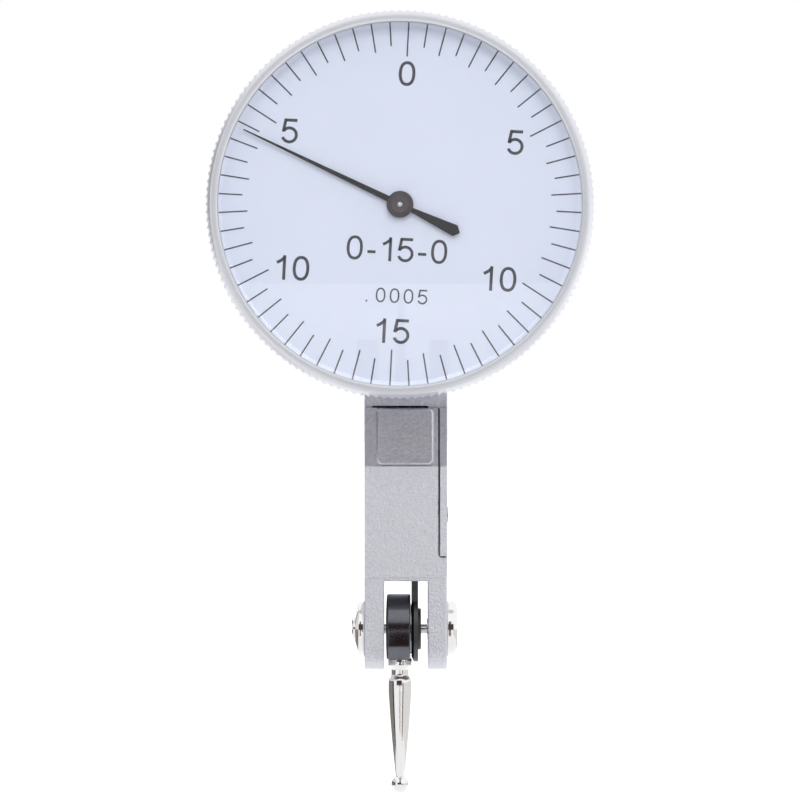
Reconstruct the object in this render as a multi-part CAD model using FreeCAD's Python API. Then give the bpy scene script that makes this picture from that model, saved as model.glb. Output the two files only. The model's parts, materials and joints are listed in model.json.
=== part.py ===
import FreeCAD, Part

import math
import os

# Lever dial test indicator, upright, with the stylus pointing down.
# Millimetres. +X is to the right of the dial, +Y goes from the dial to the back, +Z is up.
# The origin is the centre of the rear dovetail's flat face, on the axis of the hand.

V = FreeCAD.Vector
AXIS_X = V(1, 0, 0)
AXIS_Y = V(0, 1, 0)
AXIS_Z = V(0, 0, 1)

# --- driving dimensions ---
BEZEL_R = 20.0              # over the serrations
BEZEL_SERRATIONS = 156
HAND_REST_ANGLE = -64.4     # degrees from straight up; minus is to the left as the dial is read
SPINDLE_DROP = 43.9         # hand axis to lever spindle
STYLUS_LENGTH = 16.2        # lever spindle to the centre of the contact ball
BALL_R = 0.91
DOVETAIL_WIDTH = 6.0        # 60 degree dovetail, across its flat face
DOVETAIL_HEIGHT = 1.8
HOUSING_DEPTH = 9.6
HOUSING_LEFT = -3.67        # outer faces of the slim body
HOUSING_SEAM = 3.99         # right side of the body, where the cover lies
HOUSING_RIGHT = 4.87
LEVER_SWING = 1.35          # degrees each way: half a turn of the hand

# --- stations along Y ---
BACK = -DOVETAIL_HEIGHT
FRONT = BACK - HOUSING_DEPTH
MID_Y = (BACK + FRONT) / 2  # lever spindle and train arbor
CASE_FRONT = FRONT - 1.8
DIAL_BACK = CASE_FRONT - 1.5
DIAL_FRONT = DIAL_BACK - 0.4
HAND_BACK = DIAL_FRONT - 0.6
CRYSTAL_BACK = DIAL_FRONT - 1.72
BEZEL_BACK = FRONT - 0.7
BEZEL_FRONT = FRONT - 6.4
CENTRE_BRIDGE_FRONT = MID_Y - 3.4

# --- stations along Z ---
HOUSING_TOP = 16.4
PAD_TOP = -20.85
PAD_BOTTOM = -26.75
LAND_BOTTOM = -26.9
RELIEF_TOP = -18.25         # the front is relieved here, behind the bezel's lower edge
RELIEF_DEPTH = 0.8
COVER_BOTTOM = -36.2
COVER_GAP = 0.12            # between the cover's lower edge and its seat
SEAM_EDGE = 0.1             # edges broken along the seam
FORK_STEP = -38.5
GAP_TOP = -38.8
EAR_BOTTOM = -48.0
SPINDLE_Z = -SPINDLE_DROP

# --- gearing: tooth counts give half a turn of the hand for LEVER_SWING ---
SECTOR_TEETH_FULL = 425     # teeth that a full circle would have
PINION_TEETH = 15
CROWN_TEETH = 66
CENTRE_TEETH = 14
SECTOR_MODULE = 2 * SPINDLE_DROP / (SECTOR_TEETH_FULL + PINION_TEETH)
CROWN_PITCH_R = 4.0
CROWN_MODULE = 2 * CROWN_PITCH_R / CROWN_TEETH
CENTRE_PITCH_R = CENTRE_TEETH * CROWN_MODULE / 2
PINION_PITCH_R = PINION_TEETH * SECTOR_MODULE / 2
SECTOR_PITCH_R = SPINDLE_DROP - PINION_PITCH_R

# --- lever parts on the spindle, stations along X ---
EAR_LEFT_IN = -1.65
EAR_RIGHT_IN = 2.9
DRUM_LEFT = -1.48
DRUM_RIGHT = 1.08
DRUM_R = 3.65
DRUM_FLAT = 3.05            # spindle to the flat that the stylus screws against
LEVER_LEFT = 1.2
LEVER_RIGHT = 1.88
COLLAR_RIGHT = 2.18
NOSE = 0.08                 # the right bearing screw stands this far out of its ear
SPINDLE_R = 0.5
RUNNING_FIT = 0.03          # radial clearance of every journal

# --- cavity of the housing ---
CAVITY_LEFT = -2.7
CAVITY_BOTTOM = -35.3
CAVITY_STEP = -7.0          # above this the cavity is deeper, for the wheels
CAVITY_TOP = 10.0
CAVITY_HALF = 3.3
WHEEL_ROOM_HALF = 4.0
BRIDGE_LEFT = 2.7
BRIDGE_RIGHT = 3.3

CASE_SCREW_PLACES = [(-1.6, -12.5), (-1.6, 12.6), (2.2, 12.6)]
COVER_SCREW_PLACES = [(-3.3, -32.1), (-3.3, -12.0), (MID_Y, 13.4)]
PILLAR_PLACES = [(-9.2, 7.7), (-4.0, 7.7)]
BRIDGE_SCREW_PLACE = (0.22, 4.55)

# --- pivots, pins and jewels ---
JEWEL_R = 0.6
SPINDLE_JEWEL_R = 0.95
PIVOT_R = 0.12
PIN_R = 0.4
COVER_SCREW_R = 0.45
BRIDGE_SCREW_R = 0.4
CASE_SCREW_R = 0.5
BEARING_SCREW_R = 1.6
THREAD_R = 0.45             # of the stylus


def cylinder(radius, start, end, centre, axis):
    """A cylinder along a main axis from start to end; centre gives the other two coordinates."""
    if axis is AXIS_X:
        base = V(start, centre[0], centre[1])
    elif axis is AXIS_Y:
        base = V(centre[0], start, centre[1])
    else:
        base = V(centre[0], centre[1], start)
    length = end - start
    direction = axis if length > 0 else axis * -1
    return Part.makeCylinder(radius, abs(length), base, direction)


def box(x_range, y_range, z_range):
    """A block between pairs of coordinates."""
    low = V(min(x_range), min(y_range), min(z_range))
    high = V(max(x_range), max(y_range), max(z_range))
    size = high - low
    return Part.makeBox(size.x, size.y, size.z, low)


def turned_y(profile, centre=(0.0, 0.0)):
    """A solid turned about a line along Y; the profile is a closed list of (radius, y)."""
    points = [V(centre[0] + r, y, centre[1]) for r, y in profile]
    face = Part.Face(Part.makePolygon(points + points[:1]))
    return face.revolve(V(centre[0], 0, centre[1]), AXIS_Y, 360)


def turned_x(profile, centre):
    """A solid turned about a line along X; the profile is a closed list of (radius, x)."""
    points = [V(x, centre[0] + r, centre[1]) for r, x in profile]
    face = Part.Face(Part.makePolygon(points + points[:1]))
    return face.revolve(V(0, centre[0], centre[1]), AXIS_X, 360)


def side_plate(points, left, right):
    """A plate cut to a closed outline of (y, z) points and thick along X."""
    corners = [V(left, y, z) for y, z in points]
    return Part.Face(Part.makePolygon(corners + corners[:1])).extrude(V(right - left, 0, 0))


def front_plate(points, back, front):
    """A plate cut to a closed outline of (x, z) points and thick along Y."""
    corners = [V(x, back, z) for x, z in points]
    return Part.Face(Part.makePolygon(corners + corners[:1])).extrude(V(0, front - back, 0))


def ring_outline(count, radius_at, first_angle=0.0):
    """Points round a circle: radius_at lists (share of a pitch, radius) for one tooth."""
    pitch = 2 * math.pi / count
    points = []
    for tooth in range(count):
        for share, radius in radius_at:
            angle = first_angle + (tooth + share) * pitch
            points.append((radius * math.sin(angle), radius * math.cos(angle)))
    return points


def gear_tooth(pitch_r, module, root_share=0.30, tip_share=0.13):
    """One straight-flanked tooth for ring_outline, centred on its pitch, with backlash."""
    root = pitch_r - 1.05 * module
    tip = pitch_r + 0.78 * module
    return [(-root_share, root), (-tip_share, tip), (tip_share, tip), (root_share, root)]


def joined(shapes):
    """All the shapes as one clean solid."""
    result = shapes[0]
    for shape in shapes[1:]:
        result = result.fuse(shape)
    return result.removeSplitter()


def dovetail_outline(width, height):
    """(across, out) points of a 60 degree male dovetail, from its narrow root to its flat face."""
    lean = height / math.tan(math.radians(60))
    half = width / 2
    return [(lean - half, 0.0), (-half, height), (half, height), (half - lean, 0.0)]


# --- die-cast housing ---

def housing_outline():
    """Side outline (y, z) of the slim body: flat behind, a tapered lower front, and the ears."""
    ear_front = MID_Y - 4.2
    ear_back = MID_Y + 4.1
    return [
        (BACK, HOUSING_TOP),
        (BACK, LAND_BOTTOM),
        (ear_back, FORK_STEP),
        (ear_back, EAR_BOTTOM),
        (ear_front, EAR_BOTTOM),
        (ear_front, FORK_STEP),
        (ear_front - 0.12, FORK_STEP + 0.1),
        (FRONT, LAND_BOTTOM),
        (FRONT, HOUSING_TOP),
    ]


def housing_blank():
    """The body's outer form with its rounded ears."""
    blank = side_plate(housing_outline(), HOUSING_LEFT, HOUSING_RIGHT)
    ear_edges = [e for e in blank.Edges if abs(e.BoundBox.ZMin - EAR_BOTTOM) < 0.01
                 and e.BoundBox.ZLength < 0.01 and e.BoundBox.XLength > 1.0]
    blank = blank.makeFillet(2.4, ear_edges)
    side_edges = [e for e in blank.Edges if e.BoundBox.ZMax < FORK_STEP + 0.2 and e.BoundBox.XLength < 0.01]
    return blank.makeFillet(0.2, side_edges)


def cover_seat():
    """The step along the right side that the cover lies in, rounded at its lower corner."""
    seat = box((HOUSING_SEAM, HOUSING_RIGHT + 1), (BACK + 1, FRONT - 1),
               (COVER_BOTTOM - COVER_GAP, HOUSING_TOP + 1))
    corner = [e for e in seat.Edges if abs(e.BoundBox.ZMax - COVER_BOTTOM + COVER_GAP) < 0.01
              and abs(e.BoundBox.XMax - HOUSING_SEAM) < 0.01]
    return seat.makeFillet(0.45, corner)


def front_pad():
    """The low raised pad on the front of the body, with bevelled edges and rounded corners."""
    pad = box((-2.45, 3.5), (FRONT + 0.5, FRONT - 0.2), (PAD_BOTTOM, PAD_TOP))
    upright = [e for e in pad.Edges if e.BoundBox.YLength > 0.1]
    pad = pad.makeFillet(0.65, upright)
    front_rim = [e for e in pad.Edges if e.BoundBox.YMax < FRONT - 0.19]
    return pad.makeChamfer(0.19, front_rim)


def cavity():
    """The hollow for the lever and the wheels, open to the right under the cover."""
    open_right = HOUSING_SEAM + 1
    low = box((CAVITY_LEFT, open_right), (MID_Y - CAVITY_HALF, MID_Y + CAVITY_HALF),
              (CAVITY_BOTTOM, CAVITY_TOP))
    high = box((CAVITY_LEFT, open_right), (MID_Y - WHEEL_ROOM_HALF, MID_Y + WHEEL_ROOM_HALF),
               (CAVITY_STEP, CAVITY_TOP))
    wheel_room = cylinder(CROWN_PITCH_R + 0.5, CAVITY_LEFT, 0.0, (MID_Y, 0.0), AXIS_X)
    lever_slot = box((LEVER_LEFT - 0.3, LEVER_RIGHT + 0.3), (MID_Y - 2.3, MID_Y + 2.3),
                     (CAVITY_BOTTOM + 0.5, GAP_TOP - 0.5))
    window = box((-1.9, 1.7), (MID_Y, FRONT - 1), (-4.6, 6.2))
    return [low, high, wheel_room, lever_slot, window]


def fork_gap():
    """The gap between the ears, with small fillets at its top."""
    gap = box((EAR_LEFT_IN, EAR_RIGHT_IN), (BACK + 1, FRONT - 1), (GAP_TOP, EAR_BOTTOM - 1))
    top_corners = [e for e in gap.Edges if abs(e.BoundBox.ZMin - GAP_TOP) < 0.01 and e.BoundBox.YLength > 1]
    return gap.makeFillet(0.12, top_corners)


def front_seam_edges(shape):
    """The long front edges beside the seam between the body and its cover."""
    return [e for e in shape.Edges if e.BoundBox.XLength < 0.01 and e.BoundBox.ZLength > 3
            and abs(e.BoundBox.XMin - HOUSING_SEAM) < 0.2 and e.BoundBox.YMax < FRONT + 0.45
            and e.BoundBox.ZMin > COVER_BOTTOM - 0.5]


def rounded_ears(body):
    """The body with the inner edges of its ears rounded like the outer ones."""
    inner = [e for e in body.Edges if e.BoundBox.XLength < 0.01 and e.BoundBox.ZMax < GAP_TOP - 0.2
             and abs(e.BoundBox.XMin - HOUSING_LEFT) > 1.0 and abs(e.BoundBox.XMin - HOUSING_RIGHT) > 1.0]
    return body.makeFillet(0.15, inner)


def housing_posts():
    """Bosses inside the cavity for the cover, case and bridge screws."""
    posts = []
    for y, z in COVER_SCREW_PLACES[:2]:
        posts.append(cylinder(0.95, CAVITY_LEFT - 0.1, HOUSING_SEAM, (y, z), AXIS_X))
    for y, z in PILLAR_PLACES:
        posts.append(cylinder(1.1, CAVITY_LEFT - 0.1, BRIDGE_LEFT, (y, z), AXIS_X))
    case_x, case_z = CASE_SCREW_PLACES[0]
    posts.append(cylinder(1.0, FRONT, FRONT + 2.8, (case_x, case_z), AXIS_Y))
    return posts


def main_housing():
    """Body casting: fork, cavity, front pad, rear and end dovetails."""
    body = housing_blank().cut(cover_seat())
    across = (HOUSING_LEFT - 1, HOUSING_RIGHT + 1)
    body = body.cut(box(across, (FRONT - 1, FRONT + 0.15), (LAND_BOTTOM, PAD_TOP - 0.01)))
    body = body.cut(box(across, (FRONT - 1, FRONT + RELIEF_DEPTH), (PAD_TOP, RELIEF_TOP)))
    body = body.cut(box((-2.92, 2.92), (FRONT, FRONT + 1.5), (PAD_TOP, PAD_TOP + 0.2)))
    body = rounded_ears(body.cut(fork_gap()))
    for hollow in cavity():
        body = body.cut(hollow)
    body = body.makeChamfer(SEAM_EDGE, front_seam_edges(body))
    dovetail = dovetail_outline(DOVETAIL_WIDTH, DOVETAIL_HEIGHT)
    rear = side_plate([(BACK + out, side) for side, out in dovetail], HOUSING_LEFT, HOUSING_SEAM)
    end = side_plate([(MID_Y + side, HOUSING_TOP + out) for side, out in dovetail],
                     HOUSING_LEFT, HOUSING_SEAM)
    body = joined([body, front_pad(), rear, end] + housing_posts())
    for hole in housing_holes():
        body = body.cut(hole)
    return body


def housing_holes():
    """Holes for the bearing screws, train jewel, stop pins and every screw in the housing."""
    spindle = (MID_Y, SPINDLE_Z)
    holes = [
        cylinder(BEARING_SCREW_R, HOUSING_LEFT - 1, HOUSING_RIGHT + 1, spindle, AXIS_X),
        cylinder(JEWEL_R, CAVITY_LEFT + 0.1, CAVITY_LEFT - 0.5, (MID_Y, 0.0), AXIS_X),
    ]
    for y, z in COVER_SCREW_PLACES:
        holes.append(cylinder(COVER_SCREW_R, HOUSING_SEAM + 0.5, HOUSING_SEAM - 2.4, (y, z), AXIS_X))
    for y, z in PILLAR_PLACES:
        holes.append(cylinder(BRIDGE_SCREW_R, BRIDGE_LEFT + 0.1, BRIDGE_LEFT - 2.2, (y, z), AXIS_X))
    for x, z in CASE_SCREW_PLACES:
        holes.append(cylinder(CASE_SCREW_R, FRONT - 0.5, FRONT + 2.2, (x, z), AXIS_Y))
    for y, z in stop_pin_places():
        holes.append(cylinder(PIN_R, CAVITY_LEFT + 0.1, CAVITY_LEFT - 0.5, (y, z), AXIS_X))
    return holes


def side_cover():
    """Flat plate that closes the cavity, cut to the body's side outline."""
    outline = [
        (BACK, HOUSING_TOP),
        (BACK, LAND_BOTTOM),
        (taper_y(MID_Y + 4.1, BACK), COVER_BOTTOM),
        (taper_y(MID_Y - 4.32, FRONT), COVER_BOTTOM),
        (FRONT, LAND_BOTTOM),
        (FRONT, HOUSING_TOP),
    ]
    plate = side_plate(outline, HOUSING_SEAM, HOUSING_RIGHT)
    seam = (HOUSING_SEAM - 1, HOUSING_SEAM + 0.16)
    full_height = (HOUSING_TOP + 1, COVER_BOTTOM - 1)
    plate = plate.cut(box(seam, (BACK + 1, BACK - 0.35), full_height))
    plate = plate.cut(box(seam, (FRONT - 1, FRONT + 0.7), full_height))
    corner = [e for e in plate.Edges if abs(e.BoundBox.ZMax - COVER_BOTTOM) < 0.01
              and e.BoundBox.YLength > 3 and e.BoundBox.XMax < HOUSING_SEAM + 0.5]
    plate = plate.makeFillet(0.3, corner)
    plate = plate.cut(box((HOUSING_SEAM - 1, HOUSING_RIGHT + 1), (FRONT - 1, FRONT + RELIEF_DEPTH),
                          (PAD_TOP, RELIEF_TOP)))
    for y, z in COVER_SCREW_PLACES:
        plate = plate.cut(cylinder(COVER_SCREW_R, HOUSING_SEAM - 1, HOUSING_RIGHT + 1, (y, z), AXIS_X))
    return plate


def taper_y(at_fork, at_land):
    """Y of a tapered face of the body at the lower edge of the cover."""
    share = (LAND_BOTTOM - COVER_BOTTOM) / (LAND_BOTTOM - FORK_STEP)
    return at_land + share * (at_fork - at_land)


def cover_screws():
    """Low cheese-head screws that hold the cover."""
    screws = []
    for y, z in COVER_SCREW_PLACES:
        head = cylinder(0.85, HOUSING_RIGHT, HOUSING_RIGHT + 0.19, (y, z), AXIS_X)
        shank = cylinder(COVER_SCREW_R, HOUSING_SEAM - 2.2, HOUSING_RIGHT, (y, z), AXIS_X)
        slot = box((HOUSING_RIGHT + 0.07, HOUSING_RIGHT + 1), (y - 0.1, y + 0.1), (z - 1, z + 1))
        screws.append(joined([head, shank]).cut(slot))
    return Part.makeCompound(screws)


# --- dial case, bezel and dial ---

def dial_case():
    """Round flange that carries the bezel; pocketed in front for the hairspring."""
    flange_r = 17.5
    rim_r = 18.9
    case = turned_y([
        (0.0, FRONT), (flange_r, FRONT), (flange_r, BEZEL_BACK), (rim_r, BEZEL_BACK),
        (rim_r, BEZEL_BACK - 0.3), (18.6, BEZEL_BACK - 0.3), (18.6, BEZEL_BACK - 0.8),
        (rim_r, BEZEL_BACK - 0.8), (rim_r, CASE_FRONT), (17.2, CASE_FRONT), (17.2, CASE_FRONT + 0.8),
        (6.2, CASE_FRONT + 0.8), (6.2, CASE_FRONT), (3.7, CASE_FRONT), (3.7, CASE_FRONT + 0.5), (0.0, CASE_FRONT + 0.5),
    ])
    case = case.cut(cylinder(0.75, CASE_FRONT, FRONT + 0.5, (0.0, 0.0), AXIS_Y))
    crown_relief = box((-1.9, 1.3), (FRONT + 0.5, FRONT - 0.45), (-1.9, 1.9))
    case = case.cut(crown_relief)
    for x, z in CASE_SCREW_PLACES:
        case = case.cut(cylinder(CASE_SCREW_R, FRONT + 1, CASE_FRONT - 1, (x, z), AXIS_Y))
    bridge_x, bridge_z = BRIDGE_SCREW_PLACE
    case = case.cut(cylinder(BRIDGE_SCREW_R, FRONT + 1, CASE_FRONT - 1, (bridge_x, bridge_z), AXIS_Y))
    case = case.cut(cylinder(0.75, CASE_FRONT + 0.5, CASE_FRONT - 1, (bridge_x, bridge_z), AXIS_Y))
    return case


def case_screws():
    """Screws through the dial case into the housing."""
    screws = []
    floor = CASE_FRONT + 0.8
    for x, z in CASE_SCREW_PLACES:
        head = cylinder(0.95, floor, floor - 0.6, (x, z), AXIS_Y)
        shank = cylinder(CASE_SCREW_R, floor, FRONT + 2.0, (x, z), AXIS_Y)
        slot = box((x - 1, x + 1), (floor - 0.35, floor - 1), (z - 0.12, z + 0.12))
        screws.append(joined([head, shank]).cut(slot))
    return Part.makeCompound(screws)


def bezel_spring():
    """Split ring of square wire that snaps the bezel onto the case and gives it drag."""
    wire_back = BEZEL_BACK - 0.37
    wire_front = wire_back - 0.36
    ring = turned_y([(18.72, wire_back), (19.08, wire_back), (19.08, wire_front), (18.72, wire_front)])
    return ring.cut(box((-1.5, 1.5), (BACK, BEZEL_FRONT), (17.0, 20.0)))


def bezel_ring():
    """Bezel with a sloped flank, a serrated rim and the seats for the crystal and the dial."""
    lip = 18.6
    seat = 19.0
    bore = 18.95
    groove_front = BEZEL_BACK - 0.85
    groove_back = BEZEL_BACK - 0.25
    crest = BEZEL_R
    valley = BEZEL_R - 0.2
    band_back = BEZEL_BACK - 0.4
    band_front = BEZEL_FRONT + 2.1
    ring = turned_y([
        (19.5, BEZEL_BACK), (valley, band_back), (valley, band_front), (19.45, BEZEL_FRONT),
        (lip + 0.1, BEZEL_FRONT), (lip, BEZEL_FRONT + 0.1), (lip, CRYSTAL_BACK - 0.64),
        (18.9, CRYSTAL_BACK - 0.64), (18.9, CRYSTAL_BACK), (lip, CRYSTAL_BACK), (lip, DIAL_FRONT),
        (seat, DIAL_FRONT), (seat, groove_front), (19.2, groove_front), (19.2, groove_back),
        (bore, groove_back), (bore, BEZEL_BACK),
    ])
    serration = [(0.0, crest), (0.5, valley)]
    band = front_plate(ring_outline(BEZEL_SERRATIONS, serration), band_back, band_front)
    band = band.cut(cylinder(valley - 0.3, BEZEL_BACK, BEZEL_FRONT, (0.0, 0.0), AXIS_Y))
    return ring.fuse(band)


def crystal():
    """Clear window: a flanged disc with a bevelled edge, snapped into the bezel."""
    flange_front = CRYSTAL_BACK - 0.6
    back = CRYSTAL_BACK - 0.02
    return turned_y([
        (0.0, back), (18.87, back), (18.87, flange_front), (18.57, flange_front),
        (18.57, BEZEL_FRONT + 0.34), (18.2, BEZEL_FRONT + 0.15), (0.0, BEZEL_FRONT + 0.15),
    ])


def dial_plate():
    """Thin printed dial with a hole for the centre arbor."""
    plate = cylinder(18.95, DIAL_BACK, DIAL_FRONT, (0.0, 0.0), AXIS_Y)
    return plate.cut(cylinder(0.9, DIAL_BACK + 1, DIAL_FRONT - 1, (0.0, 0.0), AXIS_Y))


def dial_retaining_ring():
    """Ring behind the dial that holds it in the bezel."""
    outer = cylinder(18.95, DIAL_BACK, DIAL_BACK + 0.45, (0.0, 0.0), AXIS_Y)
    return outer.cut(cylinder(17.4, DIAL_BACK - 1, DIAL_BACK + 1, (0.0, 0.0), AXIS_Y))


# --- hand, centre arbor and hairspring ---

def hand():
    """Tapered pointer with a counterweight tail that ends in a blunt arrow."""
    length = 17.7
    outline = [
        (0.065, length), (0.325, 1.0), (0.325, 0.0), (0.24, -1.1), (0.6, -6.2), (0.0, -6.75),
        (-0.6, -6.2), (-0.24, -1.1), (-0.325, 0.0), (-0.325, 1.0), (-0.065, length),
    ]
    needle = front_plate(outline, HAND_BACK, HAND_BACK - 0.15)
    hub = cylinder(0.9, HAND_BACK, HAND_BACK - 0.15, (0.0, 0.0), AXIS_Y)
    needle = joined([needle, hub])
    needle = needle.cut(cylinder(0.3, HAND_BACK + 1, HAND_BACK - 1, (0.0, 0.0), AXIS_Y))
    needle.rotate(V(0, 0, 0), AXIS_Y, HAND_REST_ANGLE)
    return needle


def hand_boss():
    """Domed brass boss, blackened, that presses the hand onto the arbor."""
    back = HAND_BACK - 0.15
    return turned_y([
        (0.3, back), (1.36, back), (1.38, back - 0.12), (1.22, back - 0.34), (0.84, back - 0.5),
        (0.3, back - 0.5),
    ])


def centre_arbor():
    """Stepped arbor of the hand: hand seat, front journal, pinion seat and rear pivot."""
    front_jewel_back = FRONT - 0.7
    return turned_y([
        (0.0, HAND_BACK - 0.72), (0.18, HAND_BACK - 0.72), (0.3, HAND_BACK - 0.6), (0.3, CASE_FRONT + 0.38),
        (0.2, CASE_FRONT + 0.38), (0.2, front_jewel_back + 0.05), (0.45, front_jewel_back + 0.05),
        (0.45, CENTRE_BRIDGE_FRONT - 0.1), (PIVOT_R, CENTRE_BRIDGE_FRONT - 0.1),
        (PIVOT_R, CENTRE_BRIDGE_FRONT + 0.5), (0.0, CENTRE_BRIDGE_FRONT + 0.5),
    ])


def centre_pinion():
    """Leaf pinion on the centre arbor, in mesh with the crown wheel."""
    tooth = gear_tooth(CENTRE_PITCH_R, CROWN_MODULE)
    gap_to_crown = math.pi / CENTRE_TEETH
    outline = ring_outline(CENTRE_TEETH, tooth, -math.pi / 2 + gap_to_crown)
    pinion = front_plate(outline, MID_Y - 3.58, MID_Y - 4.4)
    return pinion.cut(cylinder(0.45, MID_Y, FRONT - 1, (0.0, 0.0), AXIS_Y))


def arbor_jewel(back, front, hole_r, outer_r):
    """Ring jewel on the hand axis."""
    jewel = cylinder(outer_r, back, front, (0.0, 0.0), AXIS_Y)
    return jewel.cut(cylinder(hole_r, back + 1, front - 1, (0.0, 0.0), AXIS_Y))


def front_arbor_jewel():
    """Jewel in the dial case for the centre arbor's front journal."""
    return arbor_jewel(FRONT - 0.7, CASE_FRONT + 0.5, 0.2 + RUNNING_FIT, 0.75)


def rear_arbor_jewel():
    """Jewel in the centre bridge for the rear pivot."""
    return arbor_jewel(CENTRE_BRIDGE_FRONT + 0.5, CENTRE_BRIDGE_FRONT, PIVOT_R + RUNNING_FIT, 0.4)


def arbor_end_stone():
    """Flat end-stone behind the rear pivot."""
    return cylinder(0.4, CENTRE_BRIDGE_FRONT + 0.75, CENTRE_BRIDGE_FRONT + 0.52, (0.0, 0.0), AXIS_Y)


def centre_bridge():
    """Small bridge behind the dial case for the centre arbor's rear jewel."""
    back = CENTRE_BRIDGE_FRONT + 0.75
    arm = box((-0.6, 1.05), (back, CENTRE_BRIDGE_FRONT), (-0.85, 5.5))
    foot = box((-0.6, 1.05), (CENTRE_BRIDGE_FRONT, FRONT), (3.6, 5.5))
    bridge = joined([arm, foot])
    bridge = bridge.cut(cylinder(0.4, back + 1, CENTRE_BRIDGE_FRONT - 0.5, (0.0, 0.0), AXIS_Y))
    bridge_x, bridge_z = BRIDGE_SCREW_PLACE
    return bridge.cut(cylinder(BRIDGE_SCREW_R, FRONT - 1, back + 1, (bridge_x, bridge_z), AXIS_Y))


def centre_bridge_screw():
    """Screw through the dial case into the centre bridge."""
    floor = CASE_FRONT + 0.5
    head = cylinder(0.75, floor, CASE_FRONT + 0.02, BRIDGE_SCREW_PLACE, AXIS_Y)
    shank = cylinder(BRIDGE_SCREW_R, floor, CENTRE_BRIDGE_FRONT + 0.4, BRIDGE_SCREW_PLACE, AXIS_Y)
    x, z = BRIDGE_SCREW_PLACE
    slot = box((x - 1, x + 1), (floor - 0.25, floor - 1), (z - 0.1, z + 0.1))
    return joined([head, shank]).cut(slot)


def hairspring_collet():
    """Ring on the arbor that holds the hairspring's inner end."""
    collet = cylinder(0.7, CASE_FRONT - 0.25, CASE_FRONT + 0.35, (0.0, 0.0), AXIS_Y)
    return collet.cut(cylinder(0.3, CASE_FRONT - 1, CASE_FRONT + 1, (0.0, 0.0), AXIS_Y))


def hairspring():
    """Flat spiral spring from the collet to the stud."""
    turns = 6
    steps_per_turn = 20
    inner_r = 0.78
    outer_r = 3.1
    half_thickness = 0.035
    steps = turns * steps_per_turn
    inner_side = []
    outer_side = []
    for step in range(steps + 1):
        angle = 2 * math.pi * step / steps_per_turn
        radius = inner_r + (outer_r - inner_r) * step / steps
        out = radius + half_thickness
        inside = radius - half_thickness
        outer_side.append((out * math.cos(angle), out * math.sin(angle)))
        inner_side.append((inside * math.cos(angle), inside * math.sin(angle)))
    return front_plate(outer_side + inner_side[::-1], CASE_FRONT + 0.2, CASE_FRONT - 0.1)


def hairspring_stud():
    """Stud on the dial case that clamps the outer end of the hairspring."""
    return box((2.9, 3.5), (CASE_FRONT + 0.5, CASE_FRONT + 0.2), (-0.35, 0.35)).fuse(
        box((3.135, 3.5), (CASE_FRONT + 0.2, CASE_FRONT - 0.2), (-0.35, 0.35))).removeSplitter()


# --- train: cross arbor with pinion and crown wheel ---

def train_arbor():
    """Cross shaft with a thin pivot at each end."""
    shoulder_left = CAVITY_LEFT + 0.06
    shoulder_right = BRIDGE_LEFT - 0.06
    return turned_x([
        (0.0, shoulder_left - 0.45), (PIVOT_R, shoulder_left - 0.45), (PIVOT_R, shoulder_left),
        (0.35, shoulder_left), (0.35, shoulder_right), (PIVOT_R, shoulder_right),
        (PIVOT_R, shoulder_right + 0.45), (0.0, shoulder_right + 0.45),
    ], (MID_Y, 0.0))


def train_pinion():
    """Pinion on the cross shaft, driven by the lever's sector."""
    tooth = gear_tooth(PINION_PITCH_R, SECTOR_MODULE)
    outline = ring_outline(PINION_TEETH, tooth, math.pi + math.pi / PINION_TEETH)
    plate = side_plate([(MID_Y + y, z) for y, z in outline], LEVER_LEFT - 0.2, LEVER_RIGHT + 0.2)
    return plate.cut(cylinder(0.35, 0.0, 4.0, (MID_Y, 0.0), AXIS_X))


def crown_wheel():
    """Contrate wheel: crossed web, rim and a ring of teeth facing the centre pinion."""
    rim_in = CROWN_PITCH_R - 0.34
    rim_out = CROWN_PITCH_R + 0.32
    root = -CENTRE_PITCH_R - 1.0 * CROWN_MODULE
    tip = -CENTRE_PITCH_R + 0.75 * CROWN_MODULE
    web_back = root - 0.35
    web_front = root - 0.15
    wheel = turned_x([
        (0.35, web_back - 0.3), (0.9, web_back - 0.3), (0.9, web_back), (rim_out, web_back), (rim_out, tip),
        (rim_in, tip), (rim_in, web_front), (0.35, web_front),
    ], (MID_Y, 0.0))
    wheel = wheel.cut(Part.makeCompound(crossings(rim_in, web_back, web_front)))
    return wheel.cut(Part.makeCompound(crown_gaps(rim_in, rim_out, root, tip)))


def crossings(rim_in, web_back, web_front):
    """Four openings that leave the crown wheel's arms."""
    arm_half = 0.3
    openings = []
    for quarter in range(4):
        sweep = [(arm_half + 0.75, arm_half)]
        for step in range(7):
            angle = math.radians(7 + step * 76 / 6)
            sweep.append(((rim_in - 0.3) * math.cos(angle), (rim_in - 0.3) * math.sin(angle)))
        sweep.append((arm_half, arm_half + 0.75))
        opening = side_plate([(MID_Y + y, z) for y, z in sweep], web_back - 0.1, web_front + 0.1)
        opening.rotate(V(0, MID_Y, 0), AXIS_X, 45 + 90 * quarter)
        openings.append(opening)
    return openings


def crown_gaps(rim_in, rim_out, root, tip):
    """The spaces between the crown wheel's teeth; a tooth points straight at the hand axis."""
    pitch = 2 * math.pi / CROWN_TEETH
    inner = rim_in - 0.1
    outer = rim_out + 0.1
    gaps = []
    for tooth in range(CROWN_TEETH):
        middle = -math.pi / 2 + (tooth + 0.5) * pitch
        wide = 0.35 * pitch
        narrow = 0.21 * pitch
        mouth = gap_face(middle, wide, inner, outer, tip + 0.01)
        floor = gap_face(middle, narrow, inner, outer, root)
        gaps.append(Part.makeLoft([floor, mouth], True, True))
    return gaps


def gap_face(middle, half_angle, inner, outer, x):
    """Closed four-sided wire of one tooth space at a station x."""
    corners = []
    for radius, side in ((inner, -1), (outer, -1), (outer, 1), (inner, 1)):
        angle = middle + side * half_angle
        corners.append(V(x, MID_Y + radius * math.sin(angle), radius * math.cos(angle)))
    return Part.makePolygon(corners + corners[:1])


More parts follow.
